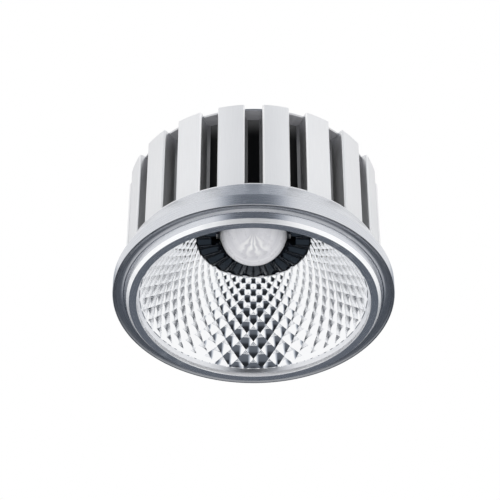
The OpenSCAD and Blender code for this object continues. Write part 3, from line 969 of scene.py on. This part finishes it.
# Each profile point is (r, z, share of the rib's height)
def makeHolder():
    h = holder
    frontZ = h["collarZ"]
    lipZ = h["seatZ"] - h["lensPocketT"]
    points = [
        (h["lipR"], lipZ, 0),
        (h["lipR"], frontZ + 0.35, 0),
        (h["lipR"] + 0.12, frontZ + 0.1, 0),
        (h["lipR"] + 0.5, frontZ, 0),
        (h["lipR"] + 0.75, frontZ, 1),
        (h["middleR"], frontZ, 1),
        (h["collarR"] - 0.2, frontZ, 1),
        (h["collarR"] - 0.05, frontZ + 0.05, 0.95),
        (h["collarR"], frontZ + 0.2, 0.7),
        (h["collarR"], h["baseZ"], 0),
        (h["baseR"] - 0.1, h["baseZ"], 0),
        (h["baseR"], h["baseZ"] + 0.1, 0),
        (h["baseR"], h["seatZ"], 0),
        (h["lensPocketR"], h["seatZ"], 0),
        (h["lensPocketR"], lipZ, 0),
    ]

    def ribbed(index, angle, r, z):
        return r, z - points[index][2] * ribHeight(angle)

    piece = lathe("ribbed_holder", [p[:2] for p in points], evenAngles(h["segments"]), shape=ribbed)
    earZ = h["seatZ"] - h["earT"]
    ears = []
    for side in bothSides:
        tip = arc((0, h["screwR"]), h["earR"], 0, 180, h["earSteps"])
        outline = tip + [(-h["earR"], h["earRoot"]), (h["earR"], h["earRoot"])]
        ears.append(([(x, side * y) for x, y in outline], earZ, h["seatZ"]))
    carve(piece, ears, "UNION")
    notch = rectangle(2 * lensHigh.x + 0.1, h["notchW"])
    carve(piece, [(notch, frontZ - 2 * over, boardLow.z)])
    pocket = rectangle(h["boardPocketW"], h["boardPocketW"])
    cuts = [(pocket, boardLow.z, h["seatZ"] + over)]
    for side in bothSides:
        cuts.append((disc(0, side * h["screwR"], h["screwHoleR"]), earZ - over, h["seatZ"] + over))
    carve(piece, cuts)
    dress(piece, "lens_holder", [holderBlack, holderPolished], 30, holderFinish)


makeHolder()

# Dome lens: a clear shell with a flange and two lugs
lens = {
    "segments": 144,
    "outsideSteps": 40,
    "insideSteps": 36,
    "baseZ": lensHigh.z,
    "domeR": lensHigh.z - lensLow.z,
    "wall": 0.95,
    "flangeR": lensHigh.y,
    "flangeT": 0.8,
    "flangeChamfer": 0.06,
    "lugR": lensHigh.x,
    "lugW": 2.4,
}


def lugRadius(angle):
    halfW = lens["lugW"] / 2
    s, c = abs(math.sin(angle - math.pi / 2)), abs(math.cos(angle - math.pi / 2))
    if s * lens["lugR"] <= halfW * c:
        return lens["lugR"] / c
    return max(lens["flangeR"], halfW / s)


# Only the dome's outside is milky and carries the painted highlights: the flange, the lugs and the inside
# are clear
def lensFinish(centre, normal):
    near = 0.04
    fromMiddle = math.hypot(centre.x, centre.y, centre.z - lens["baseZ"])
    onDome = abs(fromMiddle - lens["domeR"]) < near and centre.z < lens["baseZ"] - lens["flangeT"]
    return lensMilkyPaintedHighlights if onDome else lensClear


def makeLens():
    baseZ, domeR, flangeR = lens["baseZ"], lens["domeR"], lens["flangeR"]
    cut = lens["flangeChamfer"]
    halfW = lens["lugW"] / 2
    flangeZ = baseZ - lens["flangeT"]
    meetDeg = math.degrees(math.asin(lens["flangeT"] / domeR))
    outside = arc((0, baseZ), domeR, -90, -meetDeg, lens["outsideSteps"])
    inside = arc((0, baseZ), domeR - lens["wall"], 0, -90, lens["insideSteps"])
    rim = [
        (flangeR - cut, flangeZ),
        (flangeR, flangeZ + cut),
        (flangeR, baseZ - cut),
        (flangeR - cut, baseZ),
    ]
    profile = [(0, outside[0][1])] + outside[1:] + rim + inside[:-1] + [(0, inside[-1][1])]
    rimAt = range(len(outside), len(outside) + len(rim))
    angles = set(evenAngles(lens["segments"]))
    for middle in (math.pi / 2, 3 * math.pi / 2):
        for off in (math.atan2(halfW, lens["lugR"]), math.asin(halfW / flangeR)):
            angles |= {middle - off, middle + off}

    def lugged(index, angle, r, z):
        return (r + lugRadius(angle) - flangeR, z) if index in rimAt else (r, z)

    piece = lathe("lens", profile, sorted(angles), closed=False, shape=lugged)
    dress(piece, "dome_lens", [lensClear, lensMilkyPaintedHighlights], 35, lensFinish)


makeLens()

# Light source: board, dam and cast phosphor layer
source = {
    "segments": 120,
    "boardRound": 0.12,
    "damRoundIn": 0.18,
    "damRoundOut": 0.2,
    "crown": 0.02,
    "crownShares": (0.8, 0.5, 0.2),
}


def makeLightSource():
    angles = evenAngles(source["segments"])
    mesh = bmesh.new()
    addPrism(mesh, rectangle(boardHigh.x - boardLow.x, boardHigh.y - boardLow.y), boardLow.z, boardHigh.z)
    bmesh.ops.bevel(mesh, geom=mesh.edges[:], offset=source["boardRound"] * mm, segments=2, affect="EDGES")
    dress(newPiece("board", mesh), "led_board", [boardMask])
    inR, outR = emitterHigh.x, damHigh.x
    dam = softCorners([
        (inR, damHigh.z, 0),
        (inR, damLow.z, source["damRoundIn"]),
        (outR, damLow.z, source["damRoundOut"]),
        (outR, damHigh.z, 0),
    ])
    dress(lathe("dam", dam, angles), "led_dam", [damWhite])
    lowZ = emitterLow.z
    layer = [(0, emitterHigh.z), (inR, emitterHigh.z), (inR, lowZ + source["crown"])]
    layer += [(inR * s, lowZ + source["crown"] * s * s) for s in source["crownShares"]]
    layer.append((0, lowZ))
    dress(lathe("phosphor", layer, angles, closed=False), "led_emitter", [emitterCream])


makeLightSource()

# Rear cover: a disc with holes for its screws and the grommet
cover = {
    "segments": 216,
    "screwHoleR": 1.15,
    "inletR": 3.05,
    "inletSegments": 64,
}

# Cable grommet: a rubber ring with a groove that holds the cover's edge
grommet = {
    "segments": 96,
    "x": (grommetLow.x + grommetHigh.x) / 2,
    "boreR": 2.0,
    "grooveR": 3.0,
    "flangeR": grommetHigh.y,
    "cornerSteps": 6,
}


# The underside is left plain
def coverFinish(centre, normal):
    return coverUnder if normal.z < -0.5 else coverTurned


def makeCover():
    profile = softCorners([
        (0, coverLow.z, 0),
        (coverHigh.x, coverLow.z, 0.06),
        (coverHigh.x, coverHigh.z, 0.12),
        (0, coverHigh.z, 0),
    ])
    piece = lathe("back_cover", profile, evenAngles(cover["segments"]), closed=False)
    outlines = [disc(x, y, cover["screwHoleR"]) for x, y in coverScrewPlaces()]
    outlines.append(disc(grommet["x"], 0, cover["inletR"], cover["inletSegments"]))
    carve(piece, [(outline, coverLow.z - over, coverHigh.z + over) for outline in outlines])
    dress(piece, "rear_cover", [coverTurned, coverUnder], choose=coverFinish)


def makeCoverScrews():
    c = coverScrews
    headR, shankR = c["headR"], c["shankR"]
    seatZ = coverHigh.z
    headZ = seatZ + c["headH"]
    tipZ = coverLow.z - c["shankL"]
    profile = [(0, headZ)]
    profile += [(headR * s, headZ - c["crownFall"] * s ** 3) for s in c["crownShares"]]
    profile += [
        (headR, headZ - c["edgeFall"]),
        (headR, seatZ + 0.08),
        (headR - 0.06, seatZ),
        (shankR, seatZ),
        (shankR, tipZ + c["point"]),
        (shankR - c["point"], tipZ),
        (0, tipZ),
    ]
    joined = bmesh.new()
    for x, y in coverScrewPlaces():
        piece = lathe("screw", profile, evenAngles(c["segments"]), closed=False)
        for width, length in ((c["recessL"], c["recessW"]), (c["recessW"], c["recessL"])):
            carve(piece, [(rectangle(width, length), seatZ + c["recessZ"], seatZ + 2 * over)])
        start = len(joined.verts)
        joined.from_mesh(piece.data)
        joined.verts.ensure_lookup_table()
        bmesh.ops.translate(joined, verts=joined.verts[start:], vec=(x * mm, y * mm, 0))
        bpy.data.objects.remove(piece)
    dress(newPiece("back_screws", joined), "cover_screws", [screwSteel])


def makeGrommet():
    boreR, grooveR, flangeR = grommet["boreR"], grommet["grooveR"], grommet["flangeR"]
    profile = softCorners([
        (boreR, grommetLow.z, 0.15),
        (flangeR, grommetLow.z, 0.25),
        (flangeR, coverLow.z, 0.05),
        (grooveR, coverLow.z, 0),
        (grooveR, coverHigh.z, 0),
        (flangeR, coverHigh.z, 0.05),
        (flangeR, grommetHigh.z, 0.45),
        (boreR, grommetHigh.z, 0.3),
    ], grommet["cornerSteps"])
    piece = lathe("grommet", profile, evenAngles(grommet["segments"]))
    for vertex in piece.data.vertices:
        vertex.co.x += grommet["x"] * mm
    dress(piece, "cable_grommet", [grommetRubber])


makeCover()
makeCoverScrews()
makeGrommet()

# Pieces that keep their own form and only get a finish
finishes = {
    "thermal_pad": padGrey,
    "holder_contacts": brassStrip,
    "holder_screws": screwSteel,
    "positive_lead": leadRed,
    "negative_lead": leadBlack,
    "terminal_block": terminalIvory,
    "terminal_sleeves": brassStrip,
    "clamp_screws": screwSteel,
}
for name, material in finishes.items():
    nodes[name].data.materials.clear()
    nodes[name].data.materials.append(material)
print("finishes given:", len(finishes))

# Camera: looks up at the light face
view = {
    "distance": 350,
    "elevationDeg": -40.78,
    "aimZ": 13.01,
    "aside": -0.634,
    "focalPixels": 1932,
    "imagePixels": 500,
    "sensor": 36,
    "clip": (0.01, 10),
}


def makeCamera():
    data = bpy.data.cameras.new("viewer")
    data.sensor_width = view["sensor"]
    data.lens = view["focalPixels"] / view["imagePixels"] * view["sensor"]
    data.clip_start, data.clip_end = view["clip"]
    camera = addObject("viewer", data)
    e = math.radians(view["elevationDeg"])
    back = Vector((0, -math.cos(e), math.sin(e)))
    aim = Vector((view["aside"], 0, view["aimZ"]))
    camera.location = (aim + back * view["distance"]) * mm
    camera.rotation_euler = (-back).to_track_quat("-Z", "Y").to_euler()
    bpy.context.scene.camera = camera


makeCamera()
print("camera placed")

# Stage, in metres: a floor that shows from above only, a band for the metal to reflect, and soft lamps
stage = {
    "floorTone": 0.9,
    "floorR": 0.5,
    "floorGap": 0.0001,
    "floorFade": (0.25, 0.95),
    "ambient": 0.55,
    "middle": Vector((0, 0, 0.013)),
}


def bareMaterial(name):
    material = bpy.data.materials.new(name)
    material.use_nodes = True
    tree = material.node_tree
    tree.nodes.clear()
    return tree, addNode(tree, "OutputMaterial").inputs["Surface"], material


def makeFloor():
    reach = stage["floorR"]
    mesh = bmesh.new()
    mesh.faces.new([mesh.verts.new((x, y, 0)) for x, y in rectangle(2 * reach, 2 * reach)])
    floor = meshObject("floor", mesh)
    floor.location.z = -stage["floorGap"]
    tree, surface, material = bareMaterial("floorPale")
    path = addNode(tree, "LightPath")
    side = addNode(tree, "NewGeometry")
    x, y = axesOf(tree)[:2]
    fadeStart, fadeEnd = [reach / mm * share for share in stage["floorFade"]]
    fade = remap(tree, radiusOf(tree, x, y), fadeStart, fadeEnd, 1.0, 0.0)
    front = math2(tree, "SUBTRACT", 1.0, side.outputs["Backfacing"])
    shown = multiply(tree, multiply(tree, path.outputs["Is Camera Ray"], front), fade)
    diffuse = addNode(tree, "BsdfDiffuse")
    diffuse.inputs["Color"].default_value = grey(stage["floorTone"])
    clear = addNode(tree, "BsdfTransparent")
    mix = addNode(tree, "MixShader")
    link(tree, shown, mix.inputs[0])
    link(tree, clear.outputs[0], mix.inputs[1])
    link(tree, diffuse.outputs[0], mix.inputs[2])
    link(tree, mix.outputs[0], surface)
    floor.data.materials.append(material)


# A dark band that only reflections see runs round the object between the two white sides.
# Each stop: degrees up from the front in the plane x = 0, half width in degrees, tone, soft share
darkBand = {
    "radius": 0.7,
    "steps": 6,
    "across": 16,
    "darkTint": (0.88, 1.0, 1.2, 1),
    "stops": [
        (118, 9, 0.75, 0.3),
        (95, 11, 0.50, 0.3),
        (65, 19, 0.25, 0.4),
        (40, 25, 0.19, 0.55),
        (0, 30, 0.15, 0.45),
        (-28, 27, 0.12, 0.35),
        (-37, 25, 0.03, 0.3),
        (-45, 24, 0.022, 0.3),
        (-63, 28, 0.018, 0.3),
        (-69, 34, 1.0, 0.3),
        (-108, 30, 1.0, 0.3),
        (-116, 34, 0.15, 0.22),
        (-150, 44, 0.16, 0.22),
        (-182, 56, 0.15, 0.22),
        (-203, 54, 0.11, 0.22),
        (-214, 50, 0.11, 0.22),
        (-224, 40, 0.60, 0.22),
    ],
}


def bandRows():
    rows = []
    stops = darkBand["stops"]
    for first, second in zip(stops, stops[1:]):
        for step in range(darkBand["steps"]):
            t = step / darkBand["steps"]
            rows.append([a + (b - a) * t for a, b in zip(first, second)])
    return rows + [stops[-1]]


def makeDarkBand():
    b = darkBand
    mesh = bmesh.new()
    tones = mesh.verts.layers.float.new("tone")
    grid = []
    for upDeg, halfDeg, tone, soft in bandRows():
        up = math.radians(upDeg)
        line = []
        for i in range(b["across"] + 1):
            share = i / b["across"] * 2 - 1
            side = math.radians(halfDeg * share)
            where = Vector((math.sin(side), -math.cos(side) * math.cos(up), math.cos(side) * math.sin(up)))
            vertex = mesh.verts.new(where * b["radius"] + stage["middle"])
            vertex[tones] = tone + (1 - tone) * max(0, (abs(share) - 1) / soft + 1)
            line.append(vertex)
        grid.append(line)
    for low, high in zip(grid, grid[1:]):
        for i in range(b["across"]):
            mesh.faces.new((low[i], low[i + 1], high[i + 1], high[i]))
    band = meshObject("dark_band", mesh)
    tree, surface, material = bareMaterial("bandGrey")
    tone = addNode(tree, "Attribute", attribute_name="tone").outputs["Fac"]
    glow = addNode(tree, "Emission")
    link(tree, mixColours(tree, tone, b["darkTint"], white), glow.inputs["Color"])
    link(tree, tone, glow.inputs["Strength"])
    link(tree, glow.outputs[0], surface)
    band.data.materials.append(material)
    band.visible_camera = False
    band.visible_diffuse = False
    band.visible_transmission = False
    band.visible_shadow = False
    band.visible_volume_scatter = False


# Lamps: place, power and size
lamps = {
    "leftLamp": ((-0.44, -0.42, 0.10), 1.05, 0.5),
    "rightLamp": ((0.44, -0.42, 0.10), 1.05, 0.5),
    "topLamp": ((0.0, -0.10, 0.60), 0.6, 0.4),
    "backLamp": ((0.10, 0.55, 0.25), 0.7, 0.4),
    "underLamp": ((0.0, -0.20, -0.55), 1.4, 0.4),
}


def makeLamps():
    for name, (where, power, size) in lamps.items():
        data = bpy.data.lights.new(name, "AREA")
        data.energy = power
        data.size = size
        lamp = addObject(name, data)
        lamp.location = where
        lamp.rotation_euler = (stage["middle"] - Vector(where)).to_track_quat("-Z", "Y").to_euler()
        lamp.visible_glossy = False


# The world is white to the camera, to reflections and through glass, and dimmer as light
def makeWorld():
    world = bpy.data.worlds.new("studio")
    bpy.context.scene.world = world
    world.use_nodes = True
    tree = world.node_tree
    path = addNode(tree, "LightPath")
    seen = math2(tree, "MAXIMUM", path.outputs["Is Camera Ray"], path.outputs["Is Glossy Ray"])
    seen = math2(tree, "MAXIMUM", seen, path.outputs["Is Transmission Ray"])
    colour = mixColours(tree, seen, grey(stage["ambient"]), white)
    link(tree, colour, tree.nodes["Background"].inputs["Color"])


makeFloor()
makeDarkBand()
makeLamps()
makeWorld()
bpy.context.scene.view_settings.view_transform = "Standard"
print("stage made")
